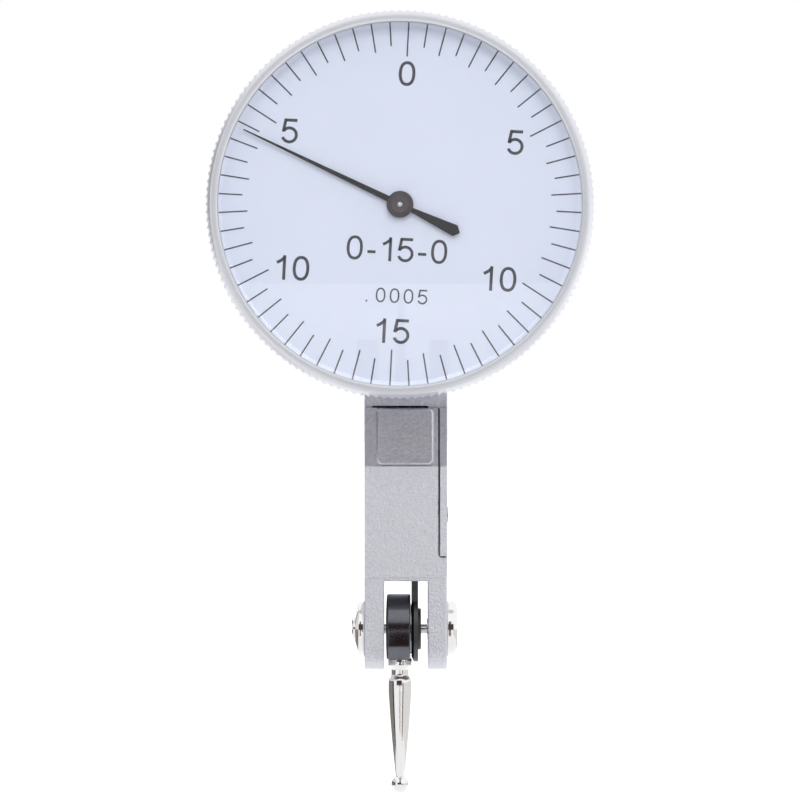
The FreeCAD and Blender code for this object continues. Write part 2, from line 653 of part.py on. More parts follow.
def ring_jewel_x(start, end):
    """Ring jewel on the train arbor's axis."""
    jewel = cylinder(JEWEL_R, start, end, (MID_Y, 0.0), AXIS_X)
    return jewel.cut(cylinder(PIVOT_R + RUNNING_FIT, start - 1, end + 1, (MID_Y, 0.0), AXIS_X))


def train_jewel_left():
    """Jewel in the housing's left wall."""
    return ring_jewel_x(CAVITY_LEFT - 0.5, CAVITY_LEFT)


def train_jewel_right():
    """Jewel in the train bridge."""
    return ring_jewel_x(BRIDGE_LEFT, BRIDGE_LEFT + 0.5)


def train_bridge():
    """Plate under the cover that carries the train arbor's right-hand pivot."""
    outline = [
        (MID_Y - 3.7, 9.0), (MID_Y + 3.7, 9.0), (MID_Y + 3.7, 6.2), (MID_Y + 1.6, -1.0), (MID_Y + 0.9, -1.7),
        (MID_Y - 0.9, -1.7), (MID_Y - 1.6, -1.0), (MID_Y - 3.7, 6.2),
    ]
    plate = side_plate(outline, BRIDGE_LEFT, BRIDGE_RIGHT)
    plate = plate.cut(cylinder(JEWEL_R, BRIDGE_LEFT - 1, BRIDGE_RIGHT + 1, (MID_Y, 0.0), AXIS_X))
    for y, z in PILLAR_PLACES:
        plate = plate.cut(cylinder(BRIDGE_SCREW_R, BRIDGE_LEFT - 1, BRIDGE_RIGHT + 1, (y, z), AXIS_X))
    return plate


def train_bridge_screws():
    """Screws of the train bridge."""
    screws = []
    for y, z in PILLAR_PLACES:
        head = cylinder(0.8, BRIDGE_RIGHT, BRIDGE_RIGHT + 0.45, (y, z), AXIS_X)
        shank = cylinder(BRIDGE_SCREW_R, BRIDGE_LEFT - 2.0, BRIDGE_RIGHT, (y, z), AXIS_X)
        slot = box((BRIDGE_RIGHT + 0.2, BRIDGE_RIGHT + 1), (y - 0.1, y + 0.1), (z - 1, z + 1))
        screws.append(joined([head, shank]).cut(slot))
    return Part.makeCompound(screws)


# --- lever with its sector ---

def arm_half_width(z):
    """Half the width of the lever's arm at height z: it tapers towards the sector."""
    low_z, low_half = -41.0, 1.9
    high_z, high_half = -8.0, 1.0
    return low_half + (z - low_z) * (high_half - low_half) / (high_z - low_z)


def stop_pin_places():
    """Centres of the two pins that end the lever's swing."""
    z = -14.0
    travel = (z - SPINDLE_Z) * math.tan(math.radians(LEVER_SWING))
    offset = arm_half_width(z) + travel + PIN_R + 0.03
    return [(MID_Y - offset, z), (MID_Y + offset, z)]


def stop_pins():
    """Two pins in the housing's left wall, one each side of the lever's arm."""
    start = CAVITY_LEFT - 0.5
    end = LEVER_RIGHT + 0.3
    return Part.makeCompound([cylinder(PIN_R, start, end, place, AXIS_X) for place in stop_pin_places()])


def sector_lever():
    """Black lever plate: a disc bevelled clear of the stylus, a tapered arm and a toothed sector."""
    disc_r = 3.4
    disc = turned_x([
        (0.0, LEVER_LEFT), (disc_r - 0.5, LEVER_LEFT), (disc_r, LEVER_LEFT + 0.25), (disc_r, LEVER_RIGHT),
        (0.0, LEVER_RIGHT),
    ], (MID_Y, SPINDLE_Z))
    arm_top = -5.0
    low_half = arm_half_width(-41.0)
    top_half = arm_half_width(arm_top)
    arm = side_plate([
        (MID_Y - low_half, -41.0), (MID_Y + low_half, -41.0),
        (MID_Y + top_half, arm_top), (MID_Y - top_half, arm_top),
    ], LEVER_LEFT, LEVER_RIGHT)
    head = sector_head()
    lever = joined([disc, arm, head])
    for low, high in ((-35.0, -27.0), (-24.0, -16.0)):
        lever = lever.cut(lightening_slot(low, high))
    return lever.cut(cylinder(SPINDLE_R, 0.0, 4.0, (MID_Y, SPINDLE_Z), AXIS_X))


def lightening_slot(low, high):
    """Long slot in the lever's arm, round at both ends."""
    half = 0.55
    middle = box((0.0, 4.0), (MID_Y - half, MID_Y + half), (low, high))
    ends = [cylinder(half, 0.0, 4.0, (MID_Y, z), AXIS_X) for z in (low, high)]
    return joined([middle] + ends)


def sector_head():
    """Toothed end of the lever, an arc about the spindle."""
    pitch = 2 * math.pi / SECTOR_TEETH_FULL
    tooth = gear_tooth(SECTOR_PITCH_R, SECTOR_MODULE)
    teeth_each_side = 3
    points = []
    for number in range(-teeth_each_side, teeth_each_side + 1):
        for share, radius in tooth:
            angle = (number + share) * pitch
            points.append((MID_Y + radius * math.sin(angle), SPINDLE_Z + radius * math.cos(angle)))
    edge = teeth_each_side + 0.5
    root = tooth[0][1]
    for side in (1, -1):
        angle = side * edge * pitch
        corner = (MID_Y + root * math.sin(angle), SPINDLE_Z + root * math.cos(angle))
        points = points + [corner] if side > 0 else [corner] + points
    neck_half = arm_half_width(-6.0)
    points = [(MID_Y - neck_half, -6.0), (points[0][0], -3.2)] + points
    points = points + [(points[-1][0], -3.2), (MID_Y + neck_half, -6.0)]
    return side_plate(points, LEVER_LEFT, LEVER_RIGHT)


def lever_spindle():
    """Axle of the lever, running in the two bearing screws."""
    return cylinder(SPINDLE_R, HOUSING_LEFT + 0.6, HOUSING_RIGHT - 0.6, (MID_Y, SPINDLE_Z), AXIS_X)


def spindle_collar():
    """Collar pressed on the spindle against the lever."""
    return turned_x([
        (SPINDLE_R, LEVER_RIGHT), (2.15, LEVER_RIGHT), (2.15, COLLAR_RIGHT - 0.08),
        (2.07, COLLAR_RIGHT), (SPINDLE_R, COLLAR_RIGHT),
    ], (MID_Y, SPINDLE_Z))


def friction_washer():
    """Thin washer between the lever and the stylus holder; it gives the swivel its drag."""
    return turned_x([
        (SPINDLE_R, LEVER_LEFT - 0.1), (2.6, LEVER_LEFT - 0.1), (2.6, LEVER_LEFT), (SPINDLE_R, LEVER_LEFT),
    ], (MID_Y, SPINDLE_Z))


# --- bearing screws in the ears ---

def bearing_screw_left():
    """Left bearing screw: bevelled head with a slotted boss, and a bored shank."""
    spindle = (MID_Y, SPINDLE_Z)
    face = HOUSING_LEFT
    mouth = EAR_LEFT_IN + 0.02
    screw = turned_x([
        (0.0, face - 1.34), (1.0, face - 1.34), (1.15, face - 1.2), (1.15, face - 1.0), (1.9, face - 1.0),
        (2.85, face - 0.64), (2.85, face), (BEARING_SCREW_R, face), (BEARING_SCREW_R, mouth), (0.0, mouth),
    ], spindle)
    screw = screw.cut(bearing_bore(mouth, -1))
    slot = box((face - 1.0, face - 2), (MID_Y - 0.22, MID_Y + 0.22), (SPINDLE_Z - 2, SPINDLE_Z + 2))
    return screw.cut(slot)


def bearing_screw_right():
    """Right bearing screw: domed head with a wide slot, and a bored shank with a thin nose."""
    spindle = (MID_Y, SPINDLE_Z)
    face = HOUSING_RIGHT
    mouth = EAR_RIGHT_IN - NOSE
    screw = turned_x([
        (0.0, mouth), (1.15, mouth), (1.15, EAR_RIGHT_IN), (BEARING_SCREW_R, EAR_RIGHT_IN),
        (BEARING_SCREW_R, face), (2.9, face), (2.9, face + 0.72), (2.75, face + 0.9),
        (2.35, face + 1.08), (1.7, face + 1.18), (0.0, face + 1.2),
    ], spindle)
    screw = screw.cut(bearing_bore(mouth, 1))
    slot = box((face + 0.75, face + 2), (MID_Y - 0.3, MID_Y + 0.3), (SPINDLE_Z - 4, SPINDLE_Z + 4))
    return screw.cut(slot)


def bearing_bore(mouth, direction):
    """Blind bore of a bearing screw: a seat for the jewel and room for the spindle's end."""
    spindle = (MID_Y, SPINDLE_Z)
    seat = cylinder(SPINDLE_JEWEL_R, mouth - direction, mouth + 0.6 * direction, spindle, AXIS_X)
    room = cylinder(SPINDLE_R + RUNNING_FIT, mouth, mouth + 1.55 * direction, spindle, AXIS_X)
    return joined([seat, room])


def spindle_jewel(mouth, direction):
    """Ring jewel in the mouth of a bearing screw."""
    spindle = (MID_Y, SPINDLE_Z)
    jewel = cylinder(SPINDLE_JEWEL_R, mouth + 0.02 * direction, mouth + 0.6 * direction, spindle, AXIS_X)
    bore = cylinder(SPINDLE_R + RUNNING_FIT, mouth - direction, mouth + 2 * direction, spindle, AXIS_X)
    return jewel.cut(bore)


def spindle_jewel_left():
    """Jewel of the left bearing screw."""
    return spindle_jewel(EAR_LEFT_IN + 0.02, -1)


def spindle_jewel_right():
    """Jewel of the right bearing screw."""
    return spindle_jewel(EAR_RIGHT_IN - NOSE, 1)


# --- stylus ---

def stylus_holder():
    """Black drum that swivels on the spindle, with a milled flat tapped for the stylus."""
    bore = SPINDLE_R + RUNNING_FIT
    rim_left = DRUM_LEFT + 0.1
    drum = turned_x([
        (bore, DRUM_LEFT), (1.2, DRUM_LEFT), (DRUM_R - 0.15, rim_left), (DRUM_R, rim_left + 0.15),
        (DRUM_R, DRUM_RIGHT - 0.12), (DRUM_R - 0.12, DRUM_RIGHT), (bore, DRUM_RIGHT),
    ], (MID_Y, SPINDLE_Z))
    flat_z = SPINDLE_Z - DRUM_FLAT
    across = (MID_Y - DRUM_R, MID_Y + DRUM_R)
    drum = drum.cut(box((DRUM_LEFT - 1, DRUM_RIGHT + 1), across, (flat_z, flat_z - 2)))
    return drum.cut(cylinder(THREAD_R, flat_z + 1.7, flat_z - 1, (0.0, MID_Y), AXIS_Z))


def stylus_stem():
    """Polished stem: thread, shoulder collar, neck and a long convex taper to the ball."""
    top = SPINDLE_Z - DRUM_FLAT
    ball_z = SPINDLE_Z - STYLUS_LENGTH
    collar_r = 1.24
    neck_r = 0.91
    shank_r = 1.22
    taper_top = V(shank_r, MID_Y, top - 3.5)
    taper_middle = V(0.89, MID_Y, top - 8.05)
    taper_end = V(0.42, MID_Y, ball_z + 0.7)
    outline = [
        (0.0, top + 1.5), (THREAD_R, top + 1.5), (THREAD_R, top), (collar_r - 0.1, top),
        (collar_r, top - 0.1), (collar_r, top - 0.8), (neck_r, top - 1.15), (neck_r, top - 1.8),
        (shank_r, top - 2.25), (shank_r, taper_top.z),
    ]
    points = [V(r, MID_Y, z) for r, z in outline]
    edges = Part.makePolygon(points).Edges
    edges.append(Part.Arc(taper_top, taper_middle, taper_end).toShape())
    edges += Part.makePolygon([taper_end, V(0, MID_Y, taper_end.z), points[0]]).Edges
    face = Part.Face(Part.Wire(edges))
    stem = face.revolve(V(0, MID_Y, 0), AXIS_Z, 360)
    return stem.cut(contact_ball())


def contact_ball():
    """Hard ball at the end of the stylus."""
    return Part.makeSphere(BALL_R, V(0, MID_Y, SPINDLE_Z - STYLUS_LENGTH))


PIECES = [
    main_housing, side_cover, cover_screws, dial_case, case_screws, bezel_spring,
    front_arbor_jewel, rear_arbor_jewel, arbor_end_stone, centre_bridge, centre_bridge_screw,
    train_bridge, train_bridge_screws, train_jewel_left, train_jewel_right, stop_pins,
    hairspring_stud, hairspring, bearing_screw_left, bearing_screw_right, spindle_jewel_left,
    spindle_jewel_right, bezel_ring, crystal, dial_plate, dial_retaining_ring, sector_lever,
    lever_spindle, spindle_collar, friction_washer, stylus_holder, stylus_stem, contact_ball,
    train_arbor, train_pinion, crown_wheel, centre_arbor, centre_pinion, hand, hand_boss,
    hairspring_collet,
]

os.makedirs("parts", exist_ok=True)
for piece in PIECES:
    shape = piece()
    if not shape.isValid() or shape.Volume <= 0:
        print("check this solid:", piece.__name__, shape.Volume)
    shape.exportStep("parts/" + piece.__name__ + ".step")
    print(f"{piece.__name__:24s} {shape.Volume:9.3f} mm3  solids {len(shape.Solids)}")
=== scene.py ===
import json
import math

import bmesh
import bpy
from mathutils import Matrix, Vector


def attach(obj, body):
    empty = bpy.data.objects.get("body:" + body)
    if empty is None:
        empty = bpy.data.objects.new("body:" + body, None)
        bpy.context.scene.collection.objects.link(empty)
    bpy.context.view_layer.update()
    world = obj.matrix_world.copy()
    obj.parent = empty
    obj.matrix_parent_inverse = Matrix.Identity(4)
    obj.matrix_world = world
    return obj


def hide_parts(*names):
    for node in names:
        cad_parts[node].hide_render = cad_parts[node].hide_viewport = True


# Dial test indicator. Lengths are in millimetres and are turned into metres as meshes are made.
MM = 0.001

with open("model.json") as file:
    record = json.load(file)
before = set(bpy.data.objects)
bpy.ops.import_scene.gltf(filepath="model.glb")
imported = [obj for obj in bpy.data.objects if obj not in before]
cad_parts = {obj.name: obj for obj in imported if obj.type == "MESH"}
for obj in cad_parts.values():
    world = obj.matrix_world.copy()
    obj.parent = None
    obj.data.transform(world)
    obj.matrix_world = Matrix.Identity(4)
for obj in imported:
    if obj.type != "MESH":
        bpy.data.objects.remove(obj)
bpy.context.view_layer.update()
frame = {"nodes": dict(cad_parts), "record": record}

# --- sizes shared with the solids; the camera looks along +Y ---
MID_Y = -6.6                # lever spindle and stylus
DIAL_FRONT = -15.1
HAND_BACK = -15.7
CRYSTAL_BACK = -16.82
BEZEL_BACK = -12.1
BEZEL_FRONT = -17.8
LIP_R = 18.6
FLUTES = 156
LAND_BOTTOM = -26.9         # lower edge of the machined land on the body's front and of its painted shade
LAND_BACK = -10.5           # the land lies ahead of this station
SPINDLE_Z = -43.9
DRUM_FLAT = 3.05            # spindle to the flat under the drum
BALL_Z = -60.1
BALL_R = 0.91
HOUSING_LEFT = -3.67
HOUSING_RIGHT = 4.87
EAR_LEFT_IN = -1.65         # inner faces of the fork's ears
EAR_RIGHT_IN = 2.9
NOSE = 0.08                 # the right screw's nose inside its ear
HAND_ANGLE = -64.4          # degrees from straight up

SMOOTH_ANGLE = 32.0         # edges sharper than this stay sharp


# --- mesh making ---

def new_piece(name, bm, smooth_angle=SMOOTH_ANGLE):
    """A scene object from a bmesh in millimetres, smooth but for edges sharper than the angle."""
    bmesh.ops.scale(bm, vec=(MM, MM, MM), verts=bm.verts)
    bmesh.ops.recalc_face_normals(bm, faces=bm.faces)
    mesh = bpy.data.meshes.new(name)
    bm.to_mesh(mesh)
    bm.free()
    mesh.shade_smooth()
    mesh.set_sharp_from_angle(angle=math.radians(smooth_angle))
    piece = bpy.data.objects.new(name, mesh)
    bpy.context.scene.collection.objects.link(piece)
    return piece


def softened(piece, width):
    """A small rounding along the piece's sharp edges."""
    bevel = piece.modifiers.new("rounding", "BEVEL")
    bevel.width = width * MM
    bevel.segments = 2
    bevel.limit_method = "ANGLE"
    bevel.angle_limit = math.radians(SMOOTH_ANGLE)
    bevel.harden_normals = True
    bevel.use_clamp_overlap = True
    return piece


def ring_of(bm, radius, station, segments, axis, centre, wobble=None):
    """A loop of vertices round an axis, or one vertex where the radius is nothing."""
    if radius < 1e-6:
        return [bm.verts.new(place_on(axis, 0.0, 0.0, station, centre))]
    loop = []
    for step in range(segments):
        angle = 2 * math.pi * step / segments
        r = radius - (wobble(angle) if wobble else 0.0)
        point = place_on(axis, r * math.cos(angle), r * math.sin(angle), station, centre)
        loop.append(bm.verts.new(point))
    return loop


def place_on(axis, a, b, station, centre):
    """Point at (a, b) across an axis and at a station along it."""
    if axis == "X":
        return (station, centre[0] + a, centre[1] + b)
    if axis == "Y":
        return (centre[0] + a, station, centre[1] + b)
    return (centre[0] + a, centre[1] + b, station)


def bridge(bm, first, second):
    """Faces between two loops of a lathe."""
    if len(first) == 1 and len(second) == 1:
        return
    if len(first) == 1 or len(second) == 1:
        tip = first[0] if len(first) == 1 else second[0]
        loop = second if len(first) == 1 else first
        for i, vert in enumerate(loop):
            bm.faces.new((tip, vert, loop[(i + 1) % len(loop)]))
        return
    for i in range(len(first)):
        j = (i + 1) % len(first)
        bm.faces.new((first[i], first[j], second[j], second[i]))


def lathe(profile, axis, centre=(0.0, 0.0), segments=96, closed=False, wobbles=None):
    """A turned form from (radius, station) points; wobbles maps a point's number to a radius change."""
    bm = bmesh.new()
    loops = []
    for number, (radius, station) in enumerate(profile):
        wobble = wobbles.get(number) if wobbles else None
        loops.append(ring_of(bm, radius, station, segments, axis, centre, wobble))
    for first, second in zip(loops, loops[1:]):
        bridge(bm, first, second)
    if closed:
        bridge(bm, loops[-1], loops[0])
    return bm


def rounded(points, radius, steps=3):
    """The profile with each inner corner replaced by a small arc of about the radius."""
    result = [points[0]]
    for before, corner, after in zip(points, points[1:], points[2:]):
        a = Vector(before) - Vector(corner)
        b = Vector(after) - Vector(corner)
        reach = min(radius, a.length * 0.45, b.length * 0.45)
        start = Vector(corner) + a.normalized() * reach
        end = Vector(corner) + b.normalized() * reach
        for step in range(steps + 1):
            t = step / steps
            point = start * (1 - t) ** 2 + Vector(corner) * 2 * t * (1 - t) + end * t * t
            result.append((point.x, point.y))
    result.append(points[-1])
    return result


def flat_plate(outline, back, front):
    """A plate cut to an outline of (x, z) points, thick along Y."""
    bm = bmesh.new()
    rear = [bm.verts.new((x, back, z)) for x, z in outline]
    face = [bm.verts.new((x, front, z)) for x, z in outline]
    bm.faces.new(rear)
    bm.faces.new(face[::-1])
    bridge(bm, rear, face)
    return bm


def cut_with(piece, cutter):
    """The piece with the cutter's volume taken away."""
    boolean = piece.modifiers.new("cut", "BOOLEAN")
    boolean.operation = "DIFFERENCE"
    boolean.solver = "EXACT"
    boolean.object = cutter
    graph = bpy.context.evaluated_depsgraph_get()
    mesh = bpy.data.meshes.new_from_object(piece.evaluated_get(graph))
    piece.modifiers.clear()
    piece.data = mesh
    bpy.data.objects.remove(cutter)
    mesh.shade_smooth()
    mesh.set_sharp_from_angle(angle=math.radians(SMOOTH_ANGLE))
    return piece


def block(name, x_range, y_range, z_range):
    """A helper block for cutting."""
    bm = flat_plate([(x_range[0], z_range[0]), (x_range[1], z_range[0]), (x_range[1], z_range[1]),
                     (x_range[0], z_range[1])], y_range[0], y_range[1])
    return new_piece(name, bm)


# --- materials ---

class Finish:
    """A node material built round one Principled shader."""

    def __init__(self, name, colour, metallic=0.0, roughness=0.4):
        self.material = bpy.data.materials.new(name)
        self.material.use_nodes = True
        self.tree = self.material.node_tree
        self.shader = self.tree.nodes["Principled BSDF"]
        self.output = self.tree.nodes["Material Output"]
        self.set("Base Color", (*colour, 1.0))
        self.set("Metallic", metallic)
        self.set("Roughness", roughness)
        self.coords = self.tree.nodes.new("ShaderNodeTexCoord").outputs["Object"]
        self.normal = None

    def set(self, socket, value):
        self.shader.inputs[socket].default_value = value

    def link(self, source, target):
        self.tree.links.new(source, target)

    def noise(self, size, detail=3.0, roughness=0.55):
        """Noise whose features are about size millimetres."""
        texture = self.tree.nodes.new("ShaderNodeTexNoise")
        texture.inputs["Scale"].default_value = 1.0 / (size * MM)
        texture.inputs["Detail"].default_value = detail
        texture.inputs["Roughness"].default_value = roughness
        self.link(self.coords, texture.inputs["Vector"])
        return texture.outputs["Fac"]

    def axis(self, letter):
        """One coordinate of the surface point, in metres."""
        split = self.tree.nodes.new("ShaderNodeSeparateXYZ")
        self.link(self.coords, split.inputs[0])
        return split.outputs[letter]

    def math(self, operation, a, b=0.0, c=0.0):
        """A math node on sockets or numbers."""
        node = self.tree.nodes.new("ShaderNodeMath")
        node.operation = operation
        for socket, value in zip(node.inputs, (a, b, c)):
            if isinstance(value, (int, float)):
                socket.default_value = value
            else:
                self.link(value, socket)
        return node.outputs[0]

    def spread(self, fac, low, high, to_low, to_high, smooth=False):
        """fac from low..high mapped to to_low..to_high and held there."""
        node = self.tree.nodes.new("ShaderNodeMapRange")
        node.interpolation_type = "SMOOTHSTEP" if smooth else "LINEAR"
        self.link(fac, node.inputs["Value"])
        ends = (("From Min", low), ("From Max", high), ("To Min", to_low), ("To Max", to_high))
        for name, value in ends:
            node.inputs[name].default_value = value
        return node.outputs["Result"]

    def blend(self, fac, a, b):
        """Colour a to b by fac; each is a colour or a socket."""
        node = self.tree.nodes.new("ShaderNodeMix")
        node.data_type = "RGBA"
        self.link(fac, node.inputs["Factor"])
        for socket, value in ((node.inputs[6], a), (node.inputs[7], b)):
            if isinstance(value, tuple):
                socket.default_value = (*value, 1.0)
            else:
                self.link(value, socket)
        return node.outputs[2]

    def mix(self, fac, a, b):
        """Number a to b by fac; each is a number or a socket."""
        node = self.tree.nodes.new("ShaderNodeMix")
        node.data_type = "FLOAT"
        self.link(fac, node.inputs["Factor"])
        for socket, value in ((node.inputs[2], a), (node.inputs[3], b)):
            if isinstance(value, (int, float)):
                socket.default_value = value
            else:
                self.link(value, socket)
        return node.outputs[0]

    def round_edges(self, radius):
        """Normals that roll over sharp edges within a radius in millimetres."""
        node = self.tree.nodes.new("ShaderNodeBevel")
        node.samples = 6
        node.inputs["Radius"].default_value = radius * MM
        self.normal = node.outputs[0]

    def painted_crevice_shade(self, reach):
        """1 in seams and corners narrower than a reach in millimetres, 0 on open surfaces; a mask from
        ambient occlusion for painted shade.
        """
        node = self.tree.nodes.new("ShaderNodeAmbientOcclusion")
        node.samples = 8
        node.inputs["Distance"].default_value = reach * MM
        return self.spread(node.outputs["AO"], 0.2, 0.7, 0.75, 0.0, True)

    def relief(self, height, depth, strength=1.0):
        """Bump from a 0..1 height of a depth in millimetres."""
        node = self.tree.nodes.new("ShaderNodeBump")
        node.inputs["Distance"].default_value = depth * MM
        if isinstance(strength, (int, float)):
            node.inputs["Strength"].default_value = strength
        else:
            self.link(strength, node.inputs["Strength"])
        self.link(height, node.inputs["Height"])
        if self.normal is not None:
            self.link(self.normal, node.inputs["Normal"])
        self.normal = node.outputs[0]
        self.link(self.normal, self.shader.inputs["Normal"])

    def colour_from(self, socket):
        self.link(socket, self.shader.inputs["Base Color"])

    def roughness_from(self, socket):
        self.link(socket, self.shader.inputs["Roughness"])


def cast_metal():
    """Satin plated die casting: fine grain, a few pits, painted shade in seams and corners, and a
    machined dovetail face in front whose darker tone is partly painted shade under the bezel.
    """
    finish = Finish("satin_cast_metal", (0.80, 0.82, 0.88), 1.0, 0.5)
    finish.round_edges(0.07)
    grain = finish.noise(0.19, 3.0, 0.6)
    peel = finish.noise(0.3, 2.0, 0.5)
    pits = finish.noise(0.55, 2.0, 0.6)
    clouds = finish.noise(3.2, 2.0)
    # The machined land is smoother, and its darker, bluer tone is partly the ground finish and partly
    # painted shade under the bezel's overhang.
    above = finish.math("GREATER_THAN", finish.axis("Z"), LAND_BOTTOM * MM)
    ahead = finish.math("LESS_THAN", finish.axis("Y"), LAND_BACK * MM)
    land_and_shade_mask = finish.math("MULTIPLY", above, ahead)
    tone = finish.blend(clouds, (0.75, 0.762, 0.84), (0.81, 0.822, 0.90))
    speckle = finish.spread(grain, 0.38, 0.62, 0.0, 1.0)
    tone = finish.blend(finish.math("MULTIPLY", speckle, 0.55), tone, (0.97, 0.985, 1.0))
    patches = finish.spread(peel, 0.35, 0.65, 0.0, 1.0)
    mottle = finish.blend(patches, (0.67, 0.68, 0.765), (0.79, 0.80, 0.895))
    tone = finish.blend(finish.math("MULTIPLY", land_and_shade_mask, 0.85), tone, mottle)
    # Painted shade: where ambient occlusion finds seams and corners, the colour is darkened towards
    # near black.
    finish.colour_from(finish.blend(finish.painted_crevice_shade(0.5), tone, (0.16, 0.16, 0.17)))
    finish.roughness_from(finish.mix(land_and_shade_mask, finish.spread(grain, 0.3, 0.7, 0.42, 0.6), 0.32))
    finish.relief(peel, 0.16, finish.mix(land_and_shade_mask, 1.0, 0.15))
    finish.relief(grain, 0.13, finish.mix(land_and_shade_mask, 1.0, 0.2))
    finish.relief(finish.spread(pits, 0.66, 0.74, 1.0, 0.0), 0.03, finish.mix(land_and_shade_mask, 0.8, 0.1))
    return finish.material


def bezel_metal():
    """Satin plated bezel, with a faint turned texture."""
    finish = Finish("bezel_satin_chrome", (0.80, 0.815, 0.86), 0.6, 0.4)
    x, z = finish.axis("X"), finish.axis("Z")
    squares = finish.math("ADD", finish.math("MULTIPLY", x, x), finish.math("MULTIPLY", z, z))
    radius = finish.math("SQRT", squares)
    rings = finish.math("SINE", finish.math("MULTIPLY", radius, 2 * math.pi / (0.05 * MM)))
    grain = finish.noise(0.12, 3.0)
    clouds = finish.noise(5.0, 2.0)
    finish.colour_from(finish.blend(clouds, (0.86, 0.875, 0.935), (0.90, 0.915, 0.975)))
    finish.roughness_from(finish.spread(grain, 0.3, 0.7, 0.36, 0.46))
    finish.relief(finish.spread(rings, -1.0, 1.0, 0.0, 1.0), 0.0008)
    finish.relief(grain, 0.003)
    return finish.material


def chrome():
    """Bright polished steel, with faint turning marks."""
    finish = Finish("bright_chrome", (0.93, 0.92, 0.91), 1.0, 0.08)
    marks = finish.noise(0.35, 3.0, 0.6)
    fine = finish.noise(0.03, 2.0)
    finish.roughness_from(finish.spread(marks, 0.3, 0.7, 0.05, 0.12))
    finish.relief(fine, 0.0004)
    finish.relief(marks, 0.002)
    return finish.material


def steel(name, colour, rough, depth=0.002):
    """Plain machined metal: brushed tone and a fine grain."""
    finish = Finish(name, colour, 1.0, rough)
    grain = finish.noise(0.1, 3.0)
    clouds = finish.noise(1.6, 2.0)
    darker = tuple(c * 0.86 for c in colour)
    finish.colour_from(finish.blend(clouds, darker, colour))
    finish.roughness_from(finish.spread(grain, 0.3, 0.7, rough * 0.8, rough * 1.2))
    finish.round_edges(0.04)
    finish.relief(grain, depth)
    return finish.material


def black_oxide(name, tone, rough, metallic=0.5):
    """Blackened steel, slightly brown, polished on the highlights."""
    finish = Finish(name, tone, metallic, rough)
    grain = finish.noise(0.08, 3.0)
    clouds = finish.noise(1.1, 3.0)
    lighter = tuple(c * 1.3 + 0.004 for c in tone)
    finish.colour_from(finish.blend(clouds, tone, lighter))
    finish.roughness_from(finish.spread(grain, 0.3, 0.7, rough * 0.8, rough * 1.25))
    finish.round_edges(0.06)
    finish.relief(grain, 0.002)
    return finish.material


def dial_paint():
    """Smooth matt enamel on the dial, cool white."""
    finish = Finish("dial_enamel", (0.74, 0.785, 0.91), 0.0, 0.55)
    mottle = finish.noise(7.0, 2.0)
    grain = finish.noise(0.07, 3.0)
    finish.colour_from(finish.blend(mottle, (0.725, 0.772, 0.90), (0.755, 0.80, 0.925)))
    finish.roughness_from(finish.spread(grain, 0.3, 0.7, 0.5, 0.62))
    finish.relief(grain, 0.001)
    return finish.material


def print_ink():
    """Blue-black printing ink, a little uneven."""
    finish = Finish("dial_ink", (0.030, 0.032, 0.050), 0.0, 0.5)
    blotch = finish.noise(0.35, 3.0)
    finish.colour_from(finish.blend(blotch, (0.024, 0.025, 0.040), (0.042, 0.043, 0.062)))
    finish.relief(blotch, 0.001)
    return finish.material


def clear_window():
    """Clear acrylic that lets the lamps through to the dial."""
    finish = Finish("clear_acrylic", (0.985, 0.99, 1.0), 0.0, 0.01)
    finish.set("Transmission Weight", 1.0)
    finish.set("IOR", 1.49)
    smears = finish.noise(6.0, 3.0)
    finish.roughness_from(finish.spread(smears, 0.45, 0.75, 0.004, 0.03))
    path = finish.tree.nodes.new("ShaderNodeLightPath")
    clear = finish.tree.nodes.new("ShaderNodeBsdfTransparent")
    either = finish.tree.nodes.new("ShaderNodeMixShader")
    finish.link(path.outputs["Is Shadow Ray"], either.inputs[0])
    finish.link(finish.shader.outputs[0], either.inputs[1])
    finish.link(clear.outputs[0], either.inputs[2])
    finish.link(either.outputs[0], finish.output.inputs["Surface"])
    return finish.material


def ruby():
    """Synthetic ruby bearing jewel."""
    finish = Finish("ruby_jewel", (0.55, 0.02, 0.09), 0.0, 0.08)
    finish.set("IOR", 1.76)
    finish.set("Transmission Weight", 0.35)
    clouds = finish.noise(0.4, 2.0)
    finish.colour_from(finish.blend(clouds, (0.45, 0.015, 0.07), (0.62, 0.03, 0.11)))
    return finish.material


CAST = cast_metal()
BEZEL = bezel_metal()
CHROME = chrome()
CASE = steel("case_grey_metal", (0.58, 0.60, 0.64), 0.4)
POLISHED = steel("polished_steel", (0.66, 0.66, 0.67), 0.16, 0.0008)
SPRING = steel("spring_steel", (0.42, 0.47, 0.60), 0.22, 0.0008)
BRASS = steel("movement_brass", (0.78, 0.57, 0.26), 0.26)
PLATED = steel("plated_screw_steel", (0.74, 0.75, 0.78), 0.24)
LEVER = black_oxide("lever_black_oxide", (0.10, 0.10, 0.105), 0.42, 0.9)
DRUM = black_oxide("drum_black_oxide", (0.14, 0.142, 0.16), 0.2, 1.0)
HAND = black_oxide("hand_black_lacquer", (0.006, 0.006, 0.009), 0.45)
BOSS = black_oxide("boss_blackened_bronze", (0.055, 0.044, 0.048), 0.42)
ENAMEL = dial_paint()
INK = print_ink()
WINDOW = clear_window()
RUBY = ruby()

SLOT_LOOK = {
    "satin_casting": CAST, "plated_screw": PLATED, "case_metal": CASE, "spring_steel": SPRING,
    "jewel": RUBY, "movement_brass": BRASS, "bright_chrome": CHROME, "bezel_metal": BEZEL,
    "clear_crystal": WINDOW, "dial_white": ENAMEL, "black_lever": LEVER, "polished_steel": POLISHED,
    "black_drum": DRUM, "hand_black": HAND, "boss_bronze": BOSS,
}


def dress_nodes():
    """Each CAD node gets the look of its material slot."""
    for entry in frame["record"]["subparts"]:
        node = frame["nodes"][entry["node"]]
        node.data.materials.clear()
        node.data.materials.append(SLOT_LOOK[entry["material_slot"]])


